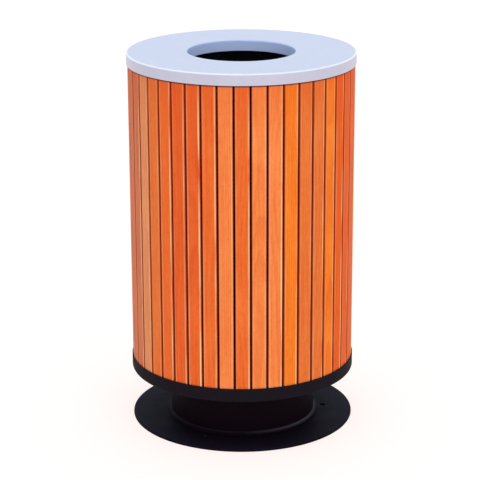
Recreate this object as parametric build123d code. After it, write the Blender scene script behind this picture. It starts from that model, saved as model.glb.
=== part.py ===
from build123d import *

import os
from math import asin, degrees, sqrt

# Round street litter bin: a ring of upright timber slats on a steel frame, standing on a black pedestal
# foot and closed by a flat grey lid with a round mouth, with a black painted sheet liner inside.
# Units are millimetres. The origin is the centre of the foot's underside and +Z is up. Azimuths are
# measured from -Y, the front, towards +X.

# Overall
OVERALL_HEIGHT = 840.0
LID_RADIUS = 251.5

# Lid: one spun sheet with a skirt outside and a flange round the mouth
MOUTH_RADIUS = 118.0
SKIRT_HEIGHT = 25.0
LID_SHEET = 1.5
LID_EDGE_RADIUS = 3.0
MOUTH_HEM_HEIGHT = 7.0
MOUTH_HEM_RADIUS = 1.35

# Slats
SLAT_COUNT = 44
SLAT_WIDTH = 31.2
SLAT_THICKNESS = 18.0
SLAT_EDGE_RADIUS = 1.8
SLAT_END_CHAMFER = 1.0
SLAT_CORNER_RADIUS = 249.0  # circle through the slats' outer corners
SLAT_BOTTOM_Z = 120.0
SLAT_TOP_Z = 832.0

# Drills run past both faces of the sheet or plate that they open
DRILL_LENGTH = 30.0
DRILL_REACH = 3.0

# Foot, neck and tray
FOOT_RADIUS = 250.0
FOOT_THICKNESS = 5.0
FOOT_EDGE_RADIUS = 3.0
FOOT_HOLE_RADIUS = 130.0
ANCHOR_PCD = 372.0
ANCHOR_HOLE_RADIUS = 6.5
ANCHOR_COUNT = 3
ANCHOR_FIRST_AZIMUTH = 93.0
NECK_RADIUS = 163.0
NECK_SHEET = 3.0
NECK_FLARE_RADIUS = 5.0
NECK_SHOULDER_RADIUS = 3.75
NECK_LIP_RADIUS = 1.5
NECK_FLANGE_RADIUS = 171.0
NECK_TOP_FLANGE_RADIUS = 132.0
TRAY_BOTTOM_Z = 116.0
TRAY_TOP_Z = 147.0
TRAY_RADIUS = 251.0
TRAY_SHEET = 1.5
TRAY_FLOOR = 2.5
TRAY_CORNER_RADIUS = 4.5
TRAY_LIP_RADIUS = 0.6
DRAIN_COUNT = 4
DRAIN_FIRST_AZIMUTH = 45.0
DRAIN_CIRCLE_RADIUS = 80.0
DRAIN_HOLE_RADIUS = 6.0

# Bolts that join the tray to the neck
BOLT_COUNT = 6
BOLT_CIRCLE_RADIUS = 148.0
BOLT_RADIUS = 4.0
BOLT_HOLE_RADIUS = 4.5
BOLT_ACROSS_FLATS = 13.0
BOLT_HEAD_HEIGHT = 5.3
NUT_HEIGHT = 6.5
NUT_CLEARANCE = 0.05
BOLT_THREAD_BEYOND_NUT = 3.0
BOLT_CHAMFER = 0.8

# Bevel round the heads of the wood screws and rivets
HEAD_BEVEL = 1.2

# Frame inside the slats
HOOP_GAP = 0.05  # between the hoops and the slats' flat inner faces
HOOP_THICKNESS = 4.0
HOOP_HEIGHT = 30.0
HOOP_CENTRES_Z = (175.0, 475.0)
TOP_RING_TOP_Z = 834.0
TOP_RING_HEIGHT = 34.0
TOP_RING_LEDGE_RADIUS = 214.0
TOP_RING_EDGE_RADIUS = 1.0
TOP_SCREW_Z = 812.0
POST_THICKNESS = 5.0
POST_WIDTH = 20.0
POST_SLAT_GAPS = (5, 16, 27, 38)  # posts stand behind these gaps between slats
WELD_GAP = 0.05
SCREW_HOLE_RADIUS = 2.5
SCREW_RADIUS = 2.0
SCREW_HEAD_RADIUS = 4.0
SCREW_HEAD_HEIGHT = 2.6
SCREW_SEAT_GAP = 0.1
SCREW_LENGTH = 17.0
SCREW_TIP_LENGTH = 4.0
BUFFER_COUNT = 4
BUFFER_FIRST_AZIMUTH = 45.0
BUFFER_THICKNESS = 4.2
BUFFER_ARC = 9.0  # degrees
BUFFER_MARGIN = 2.0
BUFFER_CHAMFER = 1.0

# Liner
LINER_RADIUS = 204.0
LINER_SHEET = 1.2
LINER_BOTTOM_Z = 118.8
LINER_TOP_Z = 800.0  # centre of the rolled rim
LINER_RIM_RADIUS = 4.0
LINER_SWAGES_Z = (300.0, 600.0)
SWAGE_RADIUS = 4.0
LINER_BASE_Z = 134.0
LINER_BASE_SHEET = 1.5
LINER_BASE_FLANGE = 12.0
LINER_BASE_GAP = 0.05
LINER_DRAIN_RADIUS = 5.0
LINER_DRAIN_CIRCLE = 120.0

# Liner handles: round bar that hangs inside the liner from two eyes
HANDLE_BAR_RADIUS = 4.0
HANDLE_PIVOT_X = 182.0
HANDLE_PIVOT_Z = 759.0
HANDLE_DROP = 50.0
HANDLE_HALF_WIDTH = 50.0
HANDLE_PINTLE = 19.0
HANDLE_BEND_RADIUS = 10.0
HANDLE_FIT = 0.05
EYE_INNER_Y = 61.0
EYE_THICKNESS = 4.0
EYE_HALF_HEIGHT = 9.0
EYE_NOSE_RADIUS = 7.2
EYE_FRONT = 10.0  # how far the eye reaches past the pivot, towards the bin's axis
BRACKET_SHEET = 2.0
BRACKET_GAP = 0.05
BRACKET_HALF_HEIGHT = 16.0
BRACKET_ARC = 7.0  # degrees
RIVET_RADIUS = 2.0
RIVET_FIT = 0.05
RIVET_HEAD_RADIUS = 4.0
RIVET_HEAD_HEIGHT = 1.6
RIVET_OFFSET_Z = 10.0
RIVET_AWAY = 4.2  # degrees along the wall from the eye
RIVET_SEAT_GAP = 0.06

# Worked out from the dimensions above
SLAT_OUTER_FACE = sqrt(SLAT_CORNER_RADIUS**2 - (SLAT_WIDTH / 2) ** 2)
SLAT_INNER_FACE = SLAT_OUTER_FACE - SLAT_THICKNESS
SLAT_PITCH = 360.0 / SLAT_COUNT
HOOP_RADIUS = SLAT_INNER_FACE - HOOP_GAP
HOOP_INNER_RADIUS = HOOP_RADIUS - HOOP_THICKNESS
TRAY_FLOOR_Z = TRAY_BOTTOM_Z + TRAY_FLOOR
LID_BOTTOM_Z = OVERALL_HEIGHT - SKIRT_HEIGHT
LINER_INNER_RADIUS = LINER_RADIUS - LINER_SHEET
EYE_AZIMUTH = degrees(asin(EYE_INNER_Y / LINER_INNER_RADIUS))
SCREW_LEVELS_Z = (*HOOP_CENTRES_Z, TOP_SCREW_Z)


def ring(outer, inner, bottom, top):
    """Plain ring round the bin's axis."""
    height = top - bottom
    body = Cylinder(outer, height) - Cylinder(inner, height)
    return Pos(0, 0, (bottom + top) / 2) * body


def sector(outer, inner, bottom, top, azimuth, arc):
    """Piece of a ring, centred on an azimuth."""
    corners = [(inner, bottom), (outer, bottom), (outer, top), (inner, top)]
    section = Plane.XZ * make_face(Polyline(*corners, close=True))
    return Rot(0, 0, azimuth - 90 - arc / 2) * revolve(section, Axis.Z, arc)


def spun(points, fillets):
    """Sheet turned round the axis from (radius, z) points; fillets rounds some of them: {point: radius}."""
    profile = Plane.XZ * make_face(Polyline(*points, close=True))
    for (r, z), size in fillets.items():
        corner = profile.vertices().sort_by_distance(Vector(r, 0, z))[0]
        profile = fillet(corner, size)
    return revolve(profile, Axis.Z)


def at_azimuth(azimuth, radius, z):
    """Place on a circle round the axis, with local +X pointing outward."""
    return Rot(0, 0, azimuth - 90) * Pos(radius, 0, z)


def holes(radius, circle, count, z, start=0.0):
    """Vertical drills through a plate at z, evenly spaced on a circle."""
    drill = Cylinder(radius, DRILL_LENGTH)
    return [at_azimuth(start + i * 360.0 / count, circle, z) * drill for i in range(count)]


def radial_drill(azimuth, z, radius, inner, outer):
    """Drill that points outward through a curved wall with these faces."""
    length = outer - inner + 2 * DRILL_REACH
    return at_azimuth(azimuth, (inner + outer) / 2, z) * Rot(0, 90, 0) * Cylinder(radius, length)


def make_lid():
    inner_face = MOUTH_RADIUS + LID_SHEET
    skirt_face = LID_RADIUS - LID_SHEET
    under = OVERALL_HEIGHT - LID_SHEET
    bend = LID_EDGE_RADIUS - LID_SHEET
    points = [
        (LID_RADIUS, LID_BOTTOM_Z),
        (LID_RADIUS, OVERALL_HEIGHT),
        (MOUTH_RADIUS, OVERALL_HEIGHT),
        (MOUTH_RADIUS, LID_BOTTOM_Z),
        (MOUTH_RADIUS + 2 * LID_SHEET, LID_BOTTOM_Z),
        (MOUTH_RADIUS + 2 * LID_SHEET, LID_BOTTOM_Z + MOUTH_HEM_HEIGHT),
        (inner_face, LID_BOTTOM_Z + MOUTH_HEM_HEIGHT),
        (inner_face, under),
        (skirt_face, under),
        (skirt_face, LID_BOTTOM_Z),
    ]
    rounded = {
        points[1]: LID_EDGE_RADIUS,
        points[2]: LID_EDGE_RADIUS,
        points[3]: MOUTH_HEM_RADIUS,
        points[4]: MOUTH_HEM_RADIUS,
        points[7]: bend,
        points[8]: bend,
    }
    return spun(points, rounded)


def make_slat():
    """One slat standing at the front, before it is turned to its place."""
    height = SLAT_TOP_Z - SLAT_BOTTOM_Z
    middle = (SLAT_INNER_FACE + SLAT_OUTER_FACE) / 2
    board = Box(SLAT_WIDTH, SLAT_THICKNESS, height)
    board = fillet(board.edges().filter_by(Axis.Z), SLAT_EDGE_RADIUS)
    ends = board.faces().filter_by(Axis.Z).edges()
    board = chamfer(ends, SLAT_END_CHAMFER)
    return Pos(0, -middle, (SLAT_TOP_Z + SLAT_BOTTOM_Z) / 2) * board


def make_foot():
    plate = ring(FOOT_RADIUS, FOOT_HOLE_RADIUS, 0, FOOT_THICKNESS)
    upper_rim = plate.edges().filter_by(GeomType.CIRCLE).group_by(Axis.Z)[-1].sort_by(SortBy.RADIUS)[-1]
    plate = fillet(upper_rim, FOOT_EDGE_RADIUS)
    return plate - holes(ANCHOR_HOLE_RADIUS, ANCHOR_PCD / 2, ANCHOR_COUNT, 0, ANCHOR_FIRST_AZIMUTH)


def make_neck():
    inner = NECK_RADIUS - NECK_SHEET
    foot_top = FOOT_THICKNESS + NECK_SHEET
    top_under = TRAY_BOTTOM_Z - NECK_SHEET
    points = [
        (NECK_FLANGE_RADIUS, FOOT_THICKNESS),
        (NECK_FLANGE_RADIUS, foot_top),
        (NECK_RADIUS, foot_top),
        (NECK_RADIUS, TRAY_BOTTOM_Z),
        (NECK_TOP_FLANGE_RADIUS, TRAY_BOTTOM_Z),
        (NECK_TOP_FLANGE_RADIUS, top_under),
        (inner, top_under),
        (inner, FOOT_THICKNESS),
    ]
    rounded = {
        points[1]: NECK_LIP_RADIUS,
        points[2]: NECK_FLARE_RADIUS,
        points[3]: NECK_SHOULDER_RADIUS,
        points[6]: NECK_SHEET,
        points[7]: NECK_FLARE_RADIUS,
    }
    drum = spun(points, rounded)
    return drum - holes(BOLT_HOLE_RADIUS, BOLT_CIRCLE_RADIUS, BOLT_COUNT, TRAY_BOTTOM_Z)


def make_tray():
    wall = TRAY_RADIUS - TRAY_SHEET
    points = [
        (0, TRAY_BOTTOM_Z),
        (TRAY_RADIUS, TRAY_BOTTOM_Z),
        (TRAY_RADIUS, TRAY_TOP_Z),
        (wall, TRAY_TOP_Z),
        (wall, TRAY_FLOOR_Z),
        (0, TRAY_FLOOR_Z),
    ]
    rounded = {
        points[1]: TRAY_CORNER_RADIUS,
        points[2]: TRAY_LIP_RADIUS,
        points[3]: TRAY_LIP_RADIUS,
        points[4]: TRAY_CORNER_RADIUS - TRAY_SHEET,
    }
    tray = spun(points, rounded)
    tray -= holes(BOLT_HOLE_RADIUS, BOLT_CIRCLE_RADIUS, BOLT_COUNT, TRAY_BOTTOM_Z)
    tray -= holes(DRAIN_HOLE_RADIUS, DRAIN_CIRCLE_RADIUS, DRAIN_COUNT, TRAY_BOTTOM_Z, DRAIN_FIRST_AZIMUTH)
    return tray


def make_neck_bolts():
    """Hexagon bolts down through the tray's floor and the neck's top flange, each with its nut."""
    grip_bottom = TRAY_BOTTOM_Z - NECK_SHEET
    tip = grip_bottom - NUT_HEIGHT - BOLT_THREAD_BEYOND_NUT
    hexagon = RegularPolygon(BOLT_ACROSS_FLATS / 2, 6, major_radius=False)
    head = Pos(0, 0, TRAY_FLOOR_Z) * extrude(hexagon, BOLT_HEAD_HEIGHT)
    head = chamfer(head.edges().group_by(Axis.Z)[-1], BOLT_CHAMFER)
    shank = Pos(0, 0, (TRAY_FLOOR_Z + tip) / 2) * Cylinder(BOLT_RADIUS, TRAY_FLOOR_Z - tip)
    nut = Pos(0, 0, grip_bottom - NUT_HEIGHT) * extrude(hexagon, NUT_HEIGHT)
    nut = chamfer(nut.edges().group_by(Axis.Z)[0], BOLT_CHAMFER)
    nut -= Pos(0, 0, grip_bottom) * Cylinder(BOLT_RADIUS + NUT_CLEARANCE, DRILL_LENGTH)
    solids = []
    for i in range(BOLT_COUNT):
        place = at_azimuth(i * 360.0 / BOLT_COUNT, BOLT_CIRCLE_RADIUS, 0)
        solids += [place * (head + shank), place * nut]
    return Compound(children=solids)


def make_hoop(centre_z):
    """Flat-bar hoop with one screw hole behind each slat."""
    hoop = ring(HOOP_RADIUS, HOOP_INNER_RADIUS, centre_z - HOOP_HEIGHT / 2, centre_z + HOOP_HEIGHT / 2)
    return hoop - screw_holes(centre_z)


def make_top_ring():
    """Angle ring at the top of the frame. Its ledge carries the lid's buffers."""
    points = [
        (HOOP_RADIUS, TOP_RING_TOP_Z - TOP_RING_HEIGHT),
        (HOOP_RADIUS, TOP_RING_TOP_Z),
        (TOP_RING_LEDGE_RADIUS, TOP_RING_TOP_Z),
        (TOP_RING_LEDGE_RADIUS, TOP_RING_TOP_Z - HOOP_THICKNESS),
        (HOOP_INNER_RADIUS, TOP_RING_TOP_Z - HOOP_THICKNESS),
        (HOOP_INNER_RADIUS, TOP_RING_TOP_Z - TOP_RING_HEIGHT),
    ]
    return spun(points, {points[1]: TOP_RING_EDGE_RADIUS}) - screw_holes(TOP_SCREW_Z)


def screw_holes(z):
    """One hole behind each slat, through the wall of a hoop."""
    return [
        radial_drill(i * SLAT_PITCH, z, SCREW_HOLE_RADIUS, HOOP_INNER_RADIUS, HOOP_RADIUS)
        for i in range(SLAT_COUNT)
    ]


def make_screws():
    """Pan-head wood screws from inside the frame into the slats, three to each slat."""
    seat = HOOP_INNER_RADIUS - SCREW_SEAT_GAP
    outline = make_face(
        Polyline(
            (0, -SCREW_HEAD_HEIGHT),
            (SCREW_HEAD_RADIUS - HEAD_BEVEL, -SCREW_HEAD_HEIGHT),
            (SCREW_HEAD_RADIUS, HEAD_BEVEL - SCREW_HEAD_HEIGHT),
            (SCREW_HEAD_RADIUS, 0),
            (SCREW_RADIUS, 0),
            (SCREW_RADIUS, SCREW_LENGTH - SCREW_TIP_LENGTH),
            (0, SCREW_LENGTH),
            close=True,
        )
    )
    screw = Rot(0, 90, 0) * revolve(Plane.XZ * outline, Axis.Z)
    return Compound(
        children=[
            at_azimuth(i * SLAT_PITCH, seat, z) * screw
            for z in SCREW_LEVELS_Z
            for i in range(SLAT_COUNT)
        ]
    )


def make_posts():
    """Upright bars, welded to the tray's floor and to the inside of the hoops."""
    outer = HOOP_INNER_RADIUS - WELD_GAP
    top = TOP_RING_TOP_Z - HOOP_THICKNESS
    arc = degrees(POST_WIDTH / outer)
    return Compound(
        children=[
            sector(outer, outer - POST_THICKNESS, TRAY_FLOOR_Z, top, (gap + 0.5) * SLAT_PITCH, arc)
            for gap in POST_SLAT_GAPS
        ]
    )


def make_buffers():
    """Rubber pads on the top ring's ledge, under the lid."""
    inner, outer = TOP_RING_LEDGE_RADIUS + BUFFER_MARGIN, HOOP_RADIUS - BUFFER_MARGIN
    top = TOP_RING_TOP_Z + BUFFER_THICKNESS
    pads = []
    for i in range(BUFFER_COUNT):
        azimuth = BUFFER_FIRST_AZIMUTH + i * 360.0 / BUFFER_COUNT
        pad = sector(outer, inner, TOP_RING_TOP_Z, top, azimuth, BUFFER_ARC)
        pads.append(chamfer(pad.edges().group_by(Axis.Z)[-1], BUFFER_CHAMFER))
    return Compound(children=pads)


def bracket_corners():
    """The four handle brackets: the side of the liner (1 is +X) and the end of the handle (1 is +Y)."""
    return [(side, end) for side in (1, -1) for end in (1, -1)]


def bracket_azimuth(side, end, away):
    """Azimuth of a point this many degrees along the wall from the middle of a handle."""
    return side * (90 + end * away)


def rivet_places():
    """Azimuth and height of each rivet, two to a bracket."""
    away = EYE_AZIMUTH + RIVET_AWAY
    return [
        (bracket_azimuth(side, end, away), HANDLE_PIVOT_Z + level * RIVET_OFFSET_Z)
        for side, end in bracket_corners()
        for level in (1, -1)
    ]


def make_liner_shell():
    """Straight sheet wall with a rolled rim and two swages."""
    top, bottom = LINER_TOP_Z, LINER_BOTTOM_Z
    centre, height = (top + bottom) / 2, top - bottom
    swage_circle = LINER_RADIUS - LINER_SHEET / 2
    outside = Pos(0, 0, centre) * Cylinder(LINER_RADIUS, height)
    inside = Pos(0, 0, centre) * Cylinder(LINER_INNER_RADIUS, height + 2 * DRILL_LENGTH)
    for z in LINER_SWAGES_Z:
        outside += Pos(0, 0, z) * Torus(swage_circle, SWAGE_RADIUS)
        inside += Pos(0, 0, z) * Torus(swage_circle, SWAGE_RADIUS - LINER_SHEET)
    rim = Pos(0, 0, top) * Torus(LINER_INNER_RADIUS + LINER_RIM_RADIUS, LINER_RIM_RADIUS)
    shell = outside - inside + rim
    return shell - [
        radial_drill(azimuth, z, RIVET_RADIUS + RIVET_FIT, LINER_INNER_RADIUS, LINER_RADIUS)
        for azimuth, z in rivet_places()
    ]


def make_liner_base():
    """Pressed base, raised clear of the bolt heads, with its flange turned down inside the wall."""
    outer = LINER_INNER_RADIUS - LINER_BASE_GAP
    top = LINER_BASE_Z + LINER_BASE_SHEET
    flange_z = LINER_BASE_Z - LINER_BASE_FLANGE
    points = [
        (0, LINER_BASE_Z),
        (outer - LINER_BASE_SHEET, LINER_BASE_Z),
        (outer - LINER_BASE_SHEET, flange_z),
        (outer, flange_z),
        (outer, top),
        (0, top),
    ]
    base = spun(points, {points[4]: 2 * LINER_BASE_SHEET, points[1]: LINER_BASE_SHEET})
    base -= holes(LINER_DRAIN_RADIUS, LINER_DRAIN_CIRCLE, DRAIN_COUNT, LINER_BASE_Z, DRAIN_FIRST_AZIMUTH)
    return base


def make_handle(side):
    """Bar bent to a U, hanging from its pintles. side is 1 on +X and -1 on -X."""
    x, z, half = side * HANDLE_PIVOT_X, HANDLE_PIVOT_Z, HANDLE_HALF_WIDTH
    low = z - HANDLE_DROP
    path = FilletPolyline(
        (x, -half - HANDLE_PINTLE, z),
        (x, -half, z),
        (x, -half, low),
        (x, half, low),
        (x, half, z),
        (x, half + HANDLE_PINTLE, z),
        radius=HANDLE_BEND_RADIUS,
    )
    start = Plane(origin=path @ 0, z_dir=path % 0)
    return sweep(start * Circle(HANDLE_BAR_RADIUS), path=path)


def make_bracket(side, end):
    """Eye for one pintle, and the curved foot that is riveted to the liner's wall."""
    wall = LINER_INNER_RADIUS - BRACKET_GAP
    nose_x = HANDLE_PIVOT_X - EYE_FRONT
    middle_y = EYE_INNER_Y + EYE_THICKNESS / 2
    length = LINER_RADIUS - nose_x
    eye = Box(length, EYE_THICKNESS, 2 * EYE_HALF_HEIGHT)
    eye = fillet(eye.edges().filter_by(Axis.Y).group_by(Axis.X)[0], EYE_NOSE_RADIUS)
    eye = Pos(nose_x + length / 2, middle_y, HANDLE_PIVOT_Z) * eye
    eye &= Pos(0, 0, HANDLE_PIVOT_Z) * Cylinder(wall, 2 * BRACKET_HALF_HEIGHT)
    bottom, top = HANDLE_PIVOT_Z - BRACKET_HALF_HEIGHT, HANDLE_PIVOT_Z + BRACKET_HALF_HEIGHT
    foot = sector(wall, wall - BRACKET_SHEET, bottom, top, 90 + EYE_AZIMUTH + BRACKET_ARC / 2, BRACKET_ARC)
    bore = Rot(90, 0, 0) * Cylinder(HANDLE_BAR_RADIUS + HANDLE_FIT, DRILL_LENGTH)
    bracket = eye + foot - Pos(HANDLE_PIVOT_X, middle_y, HANDLE_PIVOT_Z) * bore
    for azimuth, z in rivet_places()[:2]:
        bracket -= radial_drill(azimuth, z, RIVET_RADIUS + RIVET_FIT, wall - BRACKET_SHEET, wall)
    bracket = bracket if end > 0 else mirror(bracket, Plane.XZ)
    return bracket if side > 0 else mirror(bracket, Plane.YZ)


def make_rivet():
    """Dome-headed rivet closed from outside, lying along +X from the middle of the liner's wall."""
    inner = LINER_INNER_RADIUS - BRACKET_GAP - BRACKET_SHEET - RIVET_SEAT_GAP
    outer = LINER_RADIUS + RIVET_SEAT_GAP
    outline = make_face(
        Polyline(
            (0, inner - RIVET_HEAD_HEIGHT),
            (RIVET_HEAD_RADIUS - HEAD_BEVEL, inner - RIVET_HEAD_HEIGHT),
            (RIVET_HEAD_RADIUS, inner - RIVET_HEAD_HEIGHT + HEAD_BEVEL),
            (RIVET_HEAD_RADIUS, inner),
            (RIVET_RADIUS, inner),
            (RIVET_RADIUS, outer),
            (RIVET_HEAD_RADIUS, outer),
            (RIVET_HEAD_RADIUS, outer + RIVET_HEAD_HEIGHT - HEAD_BEVEL),
            (RIVET_HEAD_RADIUS - HEAD_BEVEL, outer + RIVET_HEAD_HEIGHT),
            (0, outer + RIVET_HEAD_HEIGHT),
            close=True,
        )
    )
    return Rot(0, 90, 0) * revolve(Plane.XZ * outline, Axis.Z)


def make_handle_brackets():
    return Compound(children=[make_bracket(side, end) for side, end in bracket_corners()])


def make_handle_rivets():
    rivet = make_rivet()
    return Compound(children=[at_azimuth(azimuth, 0, z) * rivet for azimuth, z in rivet_places()])


def main():
    os.makedirs("parts", exist_ok=True)
    slat = make_slat()
    nodes = {f"slat_{i + 1:02d}": Rot(0, 0, i * SLAT_PITCH) * slat for i in range(SLAT_COUNT)}
    nodes.update(
        foot_plate=make_foot(),
        neck_drum=make_neck(),
        base_tray=make_tray(),
        neck_bolts=make_neck_bolts(),
        slat_hoops=Compound(children=[make_hoop(z) for z in HOOP_CENTRES_Z]),
        top_ring=make_top_ring(),
        frame_posts=make_posts(),
        slat_screws=make_screws(),
        lid_buffers=make_buffers(),
        lid_panel=make_lid(),
        liner_shell=make_liner_shell(),
        liner_base=make_liner_base(),
        liner_handle_left=make_handle(-1),
        liner_handle_right=make_handle(1),
        handle_brackets=make_handle_brackets(),
        handle_rivets=make_handle_rivets(),
    )
    for name, shape in nodes.items():
        export_step(shape, f"parts/{name}.step")


main()
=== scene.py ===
from math import radians, tau

import bpy
from mathutils import Matrix, Vector


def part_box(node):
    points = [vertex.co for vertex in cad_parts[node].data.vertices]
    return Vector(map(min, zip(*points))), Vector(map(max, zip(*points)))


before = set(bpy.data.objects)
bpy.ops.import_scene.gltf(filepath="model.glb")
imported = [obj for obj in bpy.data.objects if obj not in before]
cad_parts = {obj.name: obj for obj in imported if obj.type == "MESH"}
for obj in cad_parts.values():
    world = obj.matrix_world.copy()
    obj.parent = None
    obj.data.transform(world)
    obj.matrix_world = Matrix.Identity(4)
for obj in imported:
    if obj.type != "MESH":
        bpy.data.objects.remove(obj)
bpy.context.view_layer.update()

# Camera: a standing person's eye, in front of the bin
CAMERA_AZIMUTH = -0.3  # degrees towards the viewer's right
CAMERA_DISTANCE = 3.946
CAMERA_HEIGHT = 1.622
CAMERA_PITCH = 17.11  # degrees below level
CAMERA_YAW = 0.063  # degrees to the left
CAMERA_ROLL = -0.2  # degrees
CAMERA_LENS = 137.75  # millimetres on a 36 mm sensor
CAMERA_REACH = 200.0  # metres, past the floor's far edge

# Light: a bluish sky, darker at both sides, over a floor that glows a little, and a weak key light
SKY_COLOUR = (0.75, 0.87, 1.0)
SKY_STRENGTH = 1.46
SKY_SIDE = 0.50  # share of that strength at the far left and right
KEY_PLACE = (1.9, -3.2, 2.6)
KEY_TARGET = (0, 0, 0.45)
KEY_SIZE = 1.6
KEY_POWER = 12.0  # watts
FLOOR_COLOUR = (0.34, 0.34, 0.34)
FLOOR_GLOW = (0.78, 0.67, 0.61)
FLOOR_SIZE = 60.0

# Places and sizes, from the frame where its boxes give them
FIRST_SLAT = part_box("slat_01")
SLAT_NAMES = sorted(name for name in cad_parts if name.removeprefix("slat_").isdigit())
SLAT_PITCH = tau / len(SLAT_NAMES)
SLAT_FACE_Y = FIRST_SLAT[0].y
SLAT_HALF_WIDTH = (FIRST_SLAT[1].x - FIRST_SLAT[0].x) / 2
LID_BOTTOM_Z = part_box("lid_panel")[0].z
LID_TOP_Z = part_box("lid_panel")[1].z
LID_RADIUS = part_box("lid_panel")[1].x
MOUTH_RADIUS = 0.118  # of the hole in the lid
NECK_FLANGE_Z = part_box("neck_drum")[0].z + 0.003  # top of the neck's lower flange
NECK_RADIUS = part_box("neck_drum")[1].x
FOOT_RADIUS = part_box("foot_plate")[1].x
GLOW_START = FOOT_RADIUS - 0.02  # the floor's glow grows from here to the foot's edge

# Wear with a painted highlight, painted shade and shadow, and dirt on the slats: across from the middle,
# back from the front face, and up
# Paler corners: wear, and a painted highlight, more on the right where the light falls
RUB_HIGHLIGHT_START = SLAT_HALF_WIDTH - 0.0050
RUB_HIGHLIGHT_FULL = SLAT_HALF_WIDTH - 0.0030
RUB_HIGHLIGHT_END_DEPTH = 0.0024
RUB_HIGHLIGHT_FULL_DEPTH = 0.0010
RUB_HIGHLIGHT_CHANGE = 0.001  # half the width over which the left corner's strength turns to the right one's
RUB_HIGHLIGHT_LEFT = 0.35  # strength of the left corner's wear and painted highlight beside the right one's, which faces the light
RUB_HIGHLIGHT_WEAKEST = 0.25  # strength of the wear and painted highlight on the weakest slat beside the strongest one
# Painted shade, dark red, on the corners and side faces that lead into the gaps between slats
CORNER_SHADE_START = SLAT_HALF_WIDTH - 0.0018
CORNER_SHADE_FULL = SLAT_HALF_WIDTH - 0.0004
SIDE_SHADE_START_DEPTH = 0.0010
SIDE_SHADE_FULL_DEPTH = 0.0045
SHADE_START_Z = LID_BOTTOM_Z - 0.11  # the shade grows from here to the skirt
LINE_START_Z = LID_BOTTOM_Z - 0.0045  # a thin dark line along the skirt's lower edge: a painted shadow, with some dirt
LINE_FULL_Z = LID_BOTTOM_Z - 0.0022
LINE_FADE_Z = LID_BOTTOM_Z + 0.0005
LINE_END_Z = LID_BOTTOM_Z + 0.0030

# Painted highlights, painted sky light and shade, and dust on the lid and on the black parts: out from
# the bin's axis, and up
# A painted highlight along the lid's rounded outer corner
LID_HIGHLIGHT_START = LID_RADIUS - 0.0045
LID_HIGHLIGHT_FULL = LID_RADIUS - 0.0020
LID_HIGHLIGHT_START_Z = LID_TOP_Z - 0.0034
LID_HIGHLIGHT_FULL_Z = LID_TOP_Z - 0.0018
# A painted bluish sky light on the wall of the lid's mouth
MOUTH_SKYLIGHT_START = MOUTH_RADIUS + 0.0030
MOUTH_SKYLIGHT_FULL = MOUTH_RADIUS + 0.0012
# Dust on upward faces, growing outward, which also paints shade near the neck and sky light further out
DUST_AND_LIGHT_START = NECK_RADIUS + 0.01
DUST_AND_LIGHT_FULL = FOOT_RADIUS - 0.01
# A painted highlight along the neck's lower flange, stronger on +X, where the key light falls
FLANGE_HIGHLIGHT_Z = NECK_FLANGE_Z + 0.0015
FLANGE_HIGHLIGHT_REACH = 0.0022  # half the width of the painted highlight line
FLANGE_HIGHLIGHT_CORE = 0.0010  # half the width of its full middle
FLANGE_HIGHLIGHT_FULL_X = 0.12

# The tree that a slat is sawn from: its heart's place, how the heart wanders, and its rings. From slat to
# slat the heart takes HEART_DEPTHS depths behind the face and HEART_SIDES places across it, in turn.
HEART_DEPTH = 0.012
HEART_DEPTH_STEP = 0.011
HEART_DEPTHS = 4
HEART_SIDE_STEP = 0.020
HEART_SIDES = 5
WANDER_ACROSS = 0.020
WANDER_IN_DEPTH = 0.034
WANDERS_PER_METRE = 1.3
WANDER_SEED_STEP = 7.3
RINGS_PER_METRE = 260.0
RING_WAVER = 0.9
RING_DARKENS = (0.25, 0.88)  # shares of a ring's width: pale before the first, dark from the second
RING_CLEARS = (1.0, 0.92)  # pale again at the first, dark before the second
GOLDEN_STEP = 0.618  # the fractions of its multiples spread evenly between 0 and 1

# The timber's tones as linear colours
TONES = {
    "rust": (0.790, 0.112, 0.018),
    "orange": (0.830, 0.140, 0.022),
    "honey": (0.900, 0.215, 0.048),
    "amber": (0.915, 0.195, 0.016),
    "ember": (0.830, 0.108, 0.006),
    "peach": (0.760, 0.250, 0.090),
    "clay": (0.640, 0.150, 0.055),
    "copper": (0.800, 0.165, 0.030),
}

# Tone of each slat, from the front one round by the viewer's right
# Partly painted light: the greyer clay and paler peach tones at the front left paint a grazing sheen, and
# the saturated ember tones at the front right paint deeper shade
TONE_ROUND = (
    "orange honey honey amber copper copper amber ember ember rust amber "
    "orange honey amber orange honey rust honey copper peach honey amber "
    "orange rust honey orange peach amber honey orange rust honey copper "
    "honey clay clay clay peach copper orange rust rust orange honey"
).split()

# Parts of the timber's look, as shares of a tone's red, green and blue
EARLY_WOOD = (1.06, 1.16, 1.20)
LATE_WOOD = (0.86, 0.66, 0.60)
DARK_FIBRE = (0.55, 0.36, 0.35)
PORE = (0.30, 0.18, 0.20)
PALE_CLOUD = (1.08, 1.35, 1.60)
DARK_CLOUD = (0.90, 0.68, 0.55)
DARK_FLECK = (0.86, 0.60, 0.55)
PALE_FLECK = (1.10, 1.40, 1.60)
SKIRT_SHADE = (0.86, 0.64, 0.62)

# Colours of wear with a painted highlight, painted shade and shadow, and dirt on the timber
# paler corners: wear, and a painted highlight
RUBBED_HIGHLIT_WOOD = (0.98, 0.58, 0.25)
# painted shade, dark red, in the gaps between slats: on the corners and on the side faces
CORNER_SHADE = (0.300, 0.020, 0.010)
SIDE_SHADE = (0.400, 0.026, 0.014)
# painted shadow, with some dirt, along the lid skirt's lower edge
SKIRT_SHADOW_AND_DIRT = (0.055, 0.012, 0.016)

# The lid's coat
LID_DULL = (0.520, 0.485, 0.550)
LID_CLEAN = (0.575, 0.540, 0.610)
LID_SPECKLE = (0.46, 0.45, 0.52)
# painted highlight on the lid's outer corner
LID_EDGE_HIGHLIGHT = (0.84, 0.80, 0.86)
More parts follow.
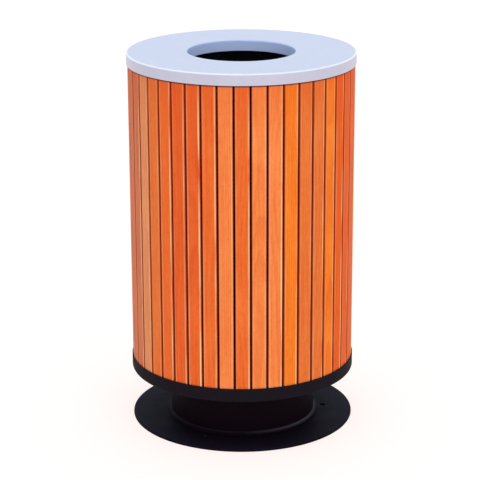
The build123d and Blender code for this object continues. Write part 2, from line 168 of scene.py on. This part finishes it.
# painted bluish sky light on the wall of the lid's mouth
LID_MOUTH_SKYLIGHT = (0.540, 0.590, 0.800)

# The black coats: clean black, and dust colours that also paint light, paler and bluer where sky light
# falls
TRAY_BLACK = (0.0095, 0.0065, 0.0095)
TRAY_DUST_AND_LIGHT = (0.0120, 0.0090, 0.0130)
NECK_BLACK = (0.0062, 0.0018, 0.0042)
NECK_DUST_AND_LIGHT = (0.0090, 0.0045, 0.0080)
FOOT_BLACK = (0.0060, 0.0024, 0.0052)
FOOT_DUST_AND_LIGHT = (0.0125, 0.0078, 0.0150)
FRAME_BLACK = (0.0050, 0.0030, 0.0050)
FRAME_DUST_AND_LIGHT = (0.0120, 0.0090, 0.0130)
SPECK_SHARES = (1.5, 1.5, 1.4)  # of the dust-and-light colour's red, green and blue
# painted highlight along the neck's lower flange
FLANGE_HIGHLIGHT = (0.055, 0.045, 0.058)

# Sockets of a Mix node set to colours: its factor, its two colours, and its result
MIX_INPUTS = (0, 6, 7)
MIX_RESULT = 2


class Nodes:
    """Short-hand for building a node tree."""

    def __init__(self, tree):
        self.tree = tree

    def add(self, kind, **settings):
        node = self.tree.nodes.new(kind)
        for key, value in settings.items():
            setattr(node, key, value)
        return node

    def put(self, socket, item):
        """Links a socket to an output, or sets it. A colour gets its alpha here."""
        if isinstance(item, bpy.types.NodeSocket):
            self.tree.links.new(item, socket)
        elif socket.type == "RGBA":
            socket.default_value = (*item, 1.0)
        else:
            socket.default_value = item

    def feed(self, node, **inputs):
        """Puts inputs by name, with _ for a space."""
        for key, item in inputs.items():
            self.put(node.inputs[key.replace("_", " ")], item)
        return node

    def split(self, vector):
        return self.feed(self.add("ShaderNodeSeparateXYZ"), Vector=vector).outputs

    def value(self, operation, *operands):
        node = self.add("ShaderNodeMath", operation=operation)
        for socket, operand in zip(node.inputs, operands):
            self.put(socket, operand)
        return node.outputs[0]

    def product(self, first, *others):
        result = first
        for other in others:
            result = self.value("MULTIPLY", result, other)
        return result

    def length(self, first, second):
        """Distance, from its parts along two axes."""
        squares = self.value("ADD", self.product(first, first), self.product(second, second))
        return self.value("SQRT", squares)

    def span(self, value, low, high, to_low=0.0, to_high=1.0):
        """Maps low..high to to_low..to_high, clamped."""
        node = self.add("ShaderNodeMapRange", clamp=True)
        names = ("Value", "From Min", "From Max", "To Min", "To Max")
        for name, item in zip(names, (value, low, high, to_low, to_high)):
            self.put(node.inputs[name], item)
        return node.outputs[0]

    def mix(self, factor, first, second):
        node = self.add("ShaderNodeMix", data_type="RGBA")
        for index, item in zip(MIX_INPUTS, (factor, first, second)):
            self.put(node.inputs[index], item)
        return node.outputs[MIX_RESULT]

    def tint(self, colour, other, mask, low, high, most=1.0):
        """Mixes another colour in, from none of it where the mask is low to most where it is high."""
        return self.mix(self.span(mask, low, high, to_high=most), colour, other)


class Shader(Nodes):
    """One material, its patterns and its Principled shader."""

    def __init__(self, name):
        self.material = bpy.data.materials.new(name)
        self.material.use_nodes = True
        super().__init__(self.material.node_tree)

    def place(self, turn=0.0, shift=(0, 0, 0)):
        """Object coordinates, turned about Z and shifted."""
        source = self.add("ShaderNodeTexCoord").outputs["Object"]
        mapping = self.add("ShaderNodeMapping")
        return self.feed(mapping, Vector=source, Rotation=(0, 0, turn), Location=shift).outputs[0]

    def stretch(self, vector, rate, shift=(0, 0, 0)):
        """Coordinates with Z scaled by a rate. One under 1 draws a pattern out along Z."""
        mapping = self.add("ShaderNodeMapping")
        return self.feed(mapping, Vector=vector, Scale=(1, 1, rate), Location=shift).outputs[0]

    def noise(self, vector, scale, detail=3.0, roughness=0.5):
        node = self.add("ShaderNodeTexNoise")
        self.feed(node, Vector=vector, Scale=scale, Detail=detail, Roughness=roughness)
        return node.outputs["Fac"]

    def bump(self, height, distance, strength):
        node = self.add("ShaderNodeBump")
        return self.feed(node, Height=height, Distance=distance, Strength=strength).outputs[0]

    def finish(self, **inputs):
        self.feed(self.tree.nodes["Principled BSDF"], **inputs)
        return self.material


def scaled(colour, shares):
    return tuple(min(1.0, part * share) for part, share in zip(colour, shares))


def wood_rings(s, local, seed):
    """Growth rings, 0 in the pale early wood to 1 in the dark late wood. The tree's heart lies a few
    centimetres behind or beside the board and wanders along it, so some boards show arches and others
    stripes."""
    x, depth, z = s.split(local)
    wander = s.add("ShaderNodeTexNoise", noise_dimensions="1D")
    along = s.value("MULTIPLY_ADD", z, WANDERS_PER_METRE, seed * WANDER_SEED_STEP)
    s.feed(wander, W=along, Scale=1.0, Detail=1.0)
    drift = s.split(wander.outputs["Color"])
    beside = HEART_SIDE_STEP * (seed % HEART_SIDES - HEART_SIDES // 2) - WANDER_ACROSS / 2
    behind = HEART_DEPTH + HEART_DEPTH_STEP * (seed % HEART_DEPTHS)
    to_side = s.value("SUBTRACT", x, s.value("MULTIPLY_ADD", drift[0], WANDER_ACROSS, beside))
    to_back = s.value("ADD", depth, s.value("MULTIPLY_ADD", drift[1], WANDER_IN_DEPTH, behind))
    waver = s.noise(s.stretch(local, 0.05, shift=(seed, 0, 0)), scale=70.0, detail=2.0)
    waver = s.product(waver, RING_WAVER)
    ring_number = s.value("MULTIPLY_ADD", s.length(to_side, to_back), RINGS_PER_METRE, waver)
    part = s.value("FRACT", ring_number)
    return s.product(s.span(part, *RING_DARKENS), s.span(part, *RING_CLEARS))


def wood_colour(s, local, seed, tone, rings, fibres, pores):
    """A board's tone, darker in its late wood, streaks, fibres and pores, with soft clouds and flecks."""
    streaks = s.noise(s.stretch(local, 0.016, shift=(seed, seed, 0)), scale=260.0, roughness=0.55)
    clouds = s.noise(s.stretch(local, 0.45, shift=(seed, 0, seed)), scale=11.0, roughness=0.55)
    flecks = s.noise(s.stretch(local, 0.30, shift=(seed, seed, seed)), scale=170.0, roughness=0.65)
    late = scaled(tone, LATE_WOOD)
    colour = s.tint(scaled(tone, EARLY_WOOD), late, rings, low=0.0, high=1.0, most=0.50)
    colour = s.tint(colour, late, streaks, low=0.44, high=0.68, most=0.55)
    colour = s.tint(colour, scaled(tone, DARK_FIBRE), fibres, low=0.35, high=0.75, most=0.25)
    colour = s.tint(colour, scaled(tone, PORE), pores, low=0.64, high=0.74, most=0.45)
    colour = s.tint(colour, scaled(tone, PALE_CLOUD), clouds, low=0.50, high=0.68, most=0.45)
    colour = s.tint(colour, scaled(tone, DARK_CLOUD), clouds, low=0.46, high=0.30, most=0.45)
    colour = s.tint(colour, scaled(tone, DARK_FLECK), flecks, low=0.52, high=0.70, most=0.38)
    return s.tint(colour, scaled(tone, PALE_FLECK), flecks, low=0.46, high=0.30, most=0.30)


def rubbed_highlit_corners(s, local, seed, colour):
    """Paler corners, broken up along their length: wear, and a painted highlight that is stronger on the
    right, where the light falls, and on some boards.
    """
    x, depth, _ = s.split(local)
    edge = s.span(s.value("ABSOLUTE", x), RUB_HIGHLIGHT_START, RUB_HIGHLIGHT_FULL)
    side = s.span(x, -RUB_HIGHLIGHT_CHANGE, RUB_HIGHLIGHT_CHANGE, to_low=RUB_HIGHLIGHT_LEFT)
    front = s.span(depth, RUB_HIGHLIGHT_END_DEPTH, RUB_HIGHLIGHT_FULL_DEPTH)
    patches = s.noise(s.stretch(local, 0.05, shift=(seed * 3, 0, 0)), scale=120.0, roughness=0.6)
    strength = RUB_HIGHLIGHT_WEAKEST + (1.0 - RUB_HIGHLIGHT_WEAKEST) * (seed * GOLDEN_STEP % 1.0)
    rubbed_highlit = s.product(edge, side, front, s.span(patches, 0.36, 0.60), strength)
    return s.mix(rubbed_highlit, colour, RUBBED_HIGHLIT_WOOD)


def slat_shade_and_dirt(s, local, tone, colour):
    """Painted shade on the corners and sides in the gaps between slats, a darker band up to the lid's
    skirt, and a painted shadow with some dirt along the skirt's lower edge.
    """
    x, depth, z = s.split(local)
    across = s.value("ABSOLUTE", x)
    colour = s.tint(colour, CORNER_SHADE, across, CORNER_SHADE_START, CORNER_SHADE_FULL, most=0.75)
    colour = s.tint(colour, SIDE_SHADE, depth, SIDE_SHADE_START_DEPTH, SIDE_SHADE_FULL_DEPTH, most=0.92)
    colour = s.tint(colour, scaled(tone, SKIRT_SHADE), z, SHADE_START_Z, LID_BOTTOM_Z, most=0.42)
    line = s.span(z, LINE_START_Z, LINE_FULL_Z, to_high=0.88)
    line = s.product(line, s.span(z, LINE_END_Z, LINE_FADE_Z))
    return s.mix(line, colour, SKIRT_SHADOW_AND_DIRT)


def wood(name, turn, seed, tone):
    """Planed and oiled hardwood slat that stands at an angle turn round the bin."""
    s = Shader(name)
    local = s.place(turn=-turn, shift=(0, -SLAT_FACE_Y, 0))
    rings = wood_rings(s, local, seed)
    fibres = s.noise(s.stretch(local, 0.012, shift=(0, seed, 0)), scale=1100.0, roughness=0.6)
    pores = s.noise(s.stretch(local, 0.045, shift=(0, 0, seed)), scale=1900.0, detail=1.0, roughness=0.4)
    colour = wood_colour(s, local, seed, tone, rings, fibres, pores)
    colour = rubbed_highlit_corners(s, local, seed, colour)
    colour = slat_shade_and_dirt(s, local, tone, colour)

    # Fibres stand up most and late wood a little, and pores are sunk
    height = s.value("MULTIPLY_ADD", fibres, 0.6, s.product(rings, 0.25))
    height = s.value("SUBTRACT", height, s.span(pores, 0.62, 0.76, to_high=0.8))
    return s.finish(
        Base_Color=colour,
        Roughness=s.span(fibres, 0.3, 0.8, to_low=0.50, to_high=0.66),
        Specular_IOR_Level=0.07,
        Normal=s.bump(height, distance=0.00022, strength=0.6),
    )


def lid_coat():
    """Pale grey powder coat: faint mottle, speckle, orange peel, a painted highlight on the outer corner,
    and painted bluish sky light in the mouth."""
    s = Shader("lid_powder_coat")
    place = s.place()
    x, y, z = s.split(place)
    radius = s.length(x, y)
    mottle = s.noise(place, scale=14.0, detail=4.0, roughness=0.6)
    speckle = s.noise(place, scale=160.0, roughness=0.6)
    peel = s.noise(place, scale=500.0, detail=2.0)
    colour = s.tint(LID_DULL, LID_CLEAN, mottle, low=0.3, high=0.7)
    colour = s.tint(colour, LID_SPECKLE, speckle, low=0.35, high=0.65, most=0.22)
    outer = s.span(radius, LID_HIGHLIGHT_START, LID_HIGHLIGHT_FULL)
    upper = s.span(z, LID_HIGHLIGHT_START_Z, LID_HIGHLIGHT_FULL_Z)
    colour = s.mix(s.product(outer, upper), colour, LID_EDGE_HIGHLIGHT)
    colour = s.tint(colour, LID_MOUTH_SKYLIGHT, radius, MOUTH_SKYLIGHT_START, MOUTH_SKYLIGHT_FULL)
    return s.finish(
        Base_Color=colour,
        Roughness=s.span(mottle, 0.3, 0.7, to_low=0.30, to_high=0.42),
        Specular_IOR_Level=0.4,
        Normal=s.bump(peel, distance=0.0001, strength=0.25),
    )


def black_coat(name, clean, dusty, highlight_z=None):
    """Dull black powder coat: dust on what faces up, more of it further out, also painting shade near the
    neck and sky light further out. With a height given, a painted highlight line runs at that height,
    most on +X."""
    s = Shader(name)
    place = s.place()
    x, y, z = s.split(place)
    mottle = s.noise(place, scale=18.0, detail=4.0, roughness=0.6)
    specks = s.noise(place, scale=240.0, roughness=0.6)
    peel = s.noise(place, scale=800.0, detail=2.0)
    upward = s.split(s.add("ShaderNodeNewGeometry").outputs["Normal"])[2]
    up = s.span(upward, 0.5, 1.0)
    out = s.span(s.length(x, y), DUST_AND_LIGHT_START, DUST_AND_LIGHT_FULL, to_low=0.1)
    uneven = s.span(mottle, 0.35, 0.75, to_low=0.45)
    colour = s.mix(s.product(up, out, uneven), clean, dusty)
    colour = s.tint(colour, scaled(dusty, SPECK_SHARES), specks, low=0.55, high=0.75, most=0.5)
    if highlight_z is not None:
        away = s.value("ABSOLUTE", s.value("SUBTRACT", z, highlight_z))
        near = s.span(away, FLANGE_HIGHLIGHT_REACH, FLANGE_HIGHLIGHT_CORE)
        right = s.span(x, 0.0, FLANGE_HIGHLIGHT_FULL_X, to_low=0.10)
        colour = s.mix(s.product(near, right), colour, FLANGE_HIGHLIGHT)
    return s.finish(
        Base_Color=colour,
        Roughness=s.span(mottle, 0.3, 0.7, to_low=0.56, to_high=0.68),
        Specular_IOR_Level=0.035,
        Normal=s.bump(peel, distance=0.00012, strength=0.5),
    )


def liner_paint():
    """Black stoved paint on sheet, scuffed and dusty."""
    s = Shader("liner_paint")
    black = (0.010, 0.006, 0.008)
    dusty = (0.020, 0.014, 0.016)
    scuffed = (0.060, 0.055, 0.055)
    place = s.place()
    mottle = s.noise(place, scale=22.0, detail=4.0, roughness=0.6)
    scuffs = s.noise(s.stretch(place, 0.12), scale=130.0, detail=4.0, roughness=0.65)
    colour = s.tint(black, dusty, mottle, low=0.4, high=0.7)
    colour = s.tint(colour, scuffed, scuffs, low=0.60, high=0.75, most=0.5)
    return s.finish(
        Base_Color=colour,
        Roughness=s.span(mottle, 0.3, 0.7, to_low=0.45, to_high=0.65),
        Specular_IOR_Level=0.2,
        Normal=s.bump(scuffs, distance=0.0001, strength=0.4),
    )


def galvanised():
    """Hot-dip zinc with spangle."""
    s = Shader("galvanised_bar")
    grey = (0.36, 0.38, 0.41)
    silver = (0.50, 0.52, 0.55)
    dulled = (0.30, 0.31, 0.33)
    place = s.place()
    cells = s.feed(s.add("ShaderNodeTexVoronoi"), Vector=place, Scale=160.0)
    facet = s.split(cells.outputs["Color"])[0]
    dull = s.noise(place, scale=30.0, detail=4.0, roughness=0.6)
    colour = s.mix(facet, grey, silver)
    colour = s.tint(colour, dulled, dull, low=0.4, high=0.7, most=0.5)
    return s.finish(
        Base_Color=colour,
        Metallic=0.85,
        Roughness=s.value("MULTIPLY_ADD", facet, 0.18, 0.34),
        Normal=s.bump(facet, distance=0.00005, strength=0.4),
    )


def zinc():
    """Bright zinc plate of the screws, bolts and rivets."""
    s = Shader("zinc_plate")
    bright = (0.56, 0.55, 0.50)
    stained = (0.38, 0.36, 0.33)
    stain = s.noise(s.place(), scale=160.0, roughness=0.6)
    colour = s.tint(bright, stained, stain, low=0.4, high=0.7)
    roughness = s.span(stain, 0.4, 0.7, to_low=0.28, to_high=0.5)
    return s.finish(Base_Color=colour, Metallic=0.9, Roughness=roughness)


def rubber():
    """Black moulded rubber, a little bloomed."""
    s = Shader("buffer_rubber")
    black = (0.018, 0.018, 0.019)
    bloomed = (0.035, 0.034, 0.034)
    place = s.place()
    grain = s.noise(place, scale=700.0, roughness=0.6)
    bloom = s.noise(place, scale=40.0)
    colour = s.tint(black, bloomed, bloom, low=0.4, high=0.7)
    return s.finish(Base_Color=colour, Roughness=0.8, Normal=s.bump(grain, distance=0.0001, strength=0.5))


def floor_coat():
    """Pale floor that glows a little, except under the bin's foot."""
    s = Shader("floor")
    x, y, _ = s.split(s.place())
    return s.finish(
        Base_Color=FLOOR_COLOUR,
        Roughness=0.9,
        Specular_IOR_Level=0.0,
        Emission_Color=FLOOR_GLOW,
        Emission_Strength=s.span(s.length(x, y), GLOW_START, FOOT_RADIUS),
    )


def dress(material, *nodes):
    """Gives CAD nodes a material."""
    for name in nodes:
        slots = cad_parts[name].data.materials
        slots.clear()
        slots.append(material)


def dress_slats():
    for index, name in enumerate(SLAT_NAMES):
        number = index + 1
        tone = TONES[TONE_ROUND[index]]
        dress(wood(f"timber_{number:02d}", index * SLAT_PITCH, number, tone), name)


def add_camera():
    data = bpy.data.cameras.new("camera")
    data.lens = CAMERA_LENS
    data.clip_end = CAMERA_REACH
    camera = bpy.data.objects.new("camera", data)
    bpy.context.scene.collection.objects.link(camera)
    turn = Matrix.Rotation(radians(CAMERA_YAW), 4, "Z")
    turn = turn @ Matrix.Rotation(radians(90.0 - CAMERA_PITCH), 4, "X")
    turn = turn @ Matrix.Rotation(radians(CAMERA_ROLL), 4, "Z")
    around = Matrix.Rotation(radians(CAMERA_AZIMUTH), 4, "Z")
    camera.matrix_world = around @ Matrix.Translation((0, -CAMERA_DISTANCE, CAMERA_HEIGHT)) @ turn
    bpy.context.scene.camera = camera


def add_key_light():
    data = bpy.data.lights.new("key", "AREA")
    data.shape = "DISK"
    data.size = KEY_SIZE
    data.energy = KEY_POWER
    light = bpy.data.objects.new("key", data)
    light.visible_camera = False
    bpy.context.scene.collection.objects.link(light)
    aim = (Vector(KEY_TARGET) - Vector(KEY_PLACE)).to_track_quat("-Z", "Y")
    light.matrix_world = Matrix.Translation(KEY_PLACE) @ aim.to_matrix().to_4x4()


def sky():
    """World whose brightness falls off towards -X and +X."""
    world = bpy.data.worlds.new("studio")
    world.use_nodes = True
    s = Nodes(world.node_tree)
    direction = s.add("ShaderNodeTexCoord").outputs["Generated"]
    sideways = s.value("POWER", s.split(direction)[0], 2.0)
    strength = s.span(sideways, 0.0, 1.0, to_low=SKY_STRENGTH, to_high=SKY_STRENGTH * SKY_SIDE)
    s.feed(s.tree.nodes["Background"], Color=SKY_COLOUR, Strength=strength)
    return world


def add_studio():
    scene = bpy.context.scene
    scene.view_settings.view_transform = "Standard"
    scene.world = sky()
    add_key_light()

    bpy.ops.mesh.primitive_plane_add(size=FLOOR_SIZE)
    floor = bpy.context.object
    floor.name = "floor"
    floor.data.materials.append(floor_coat())


add_camera()
add_studio()
dress_slats()
dress(lid_coat(), "lid_panel")
dress(black_coat("tray_coat", TRAY_BLACK, TRAY_DUST_AND_LIGHT), "base_tray")
dress(black_coat("neck_coat", NECK_BLACK, NECK_DUST_AND_LIGHT, highlight_z=FLANGE_HIGHLIGHT_Z), "neck_drum")
dress(black_coat("foot_coat", FOOT_BLACK, FOOT_DUST_AND_LIGHT), "foot_plate")
dress(black_coat("frame_coat", FRAME_BLACK, FRAME_DUST_AND_LIGHT), "slat_hoops", "top_ring", "frame_posts")
dress(liner_paint(), "liner_shell", "liner_base")
dress(galvanised(), "liner_handle_left", "liner_handle_right", "handle_brackets")
dress(zinc(), "slat_screws", "neck_bolts", "handle_rivets")
dress(rubber(), "lid_buffers")
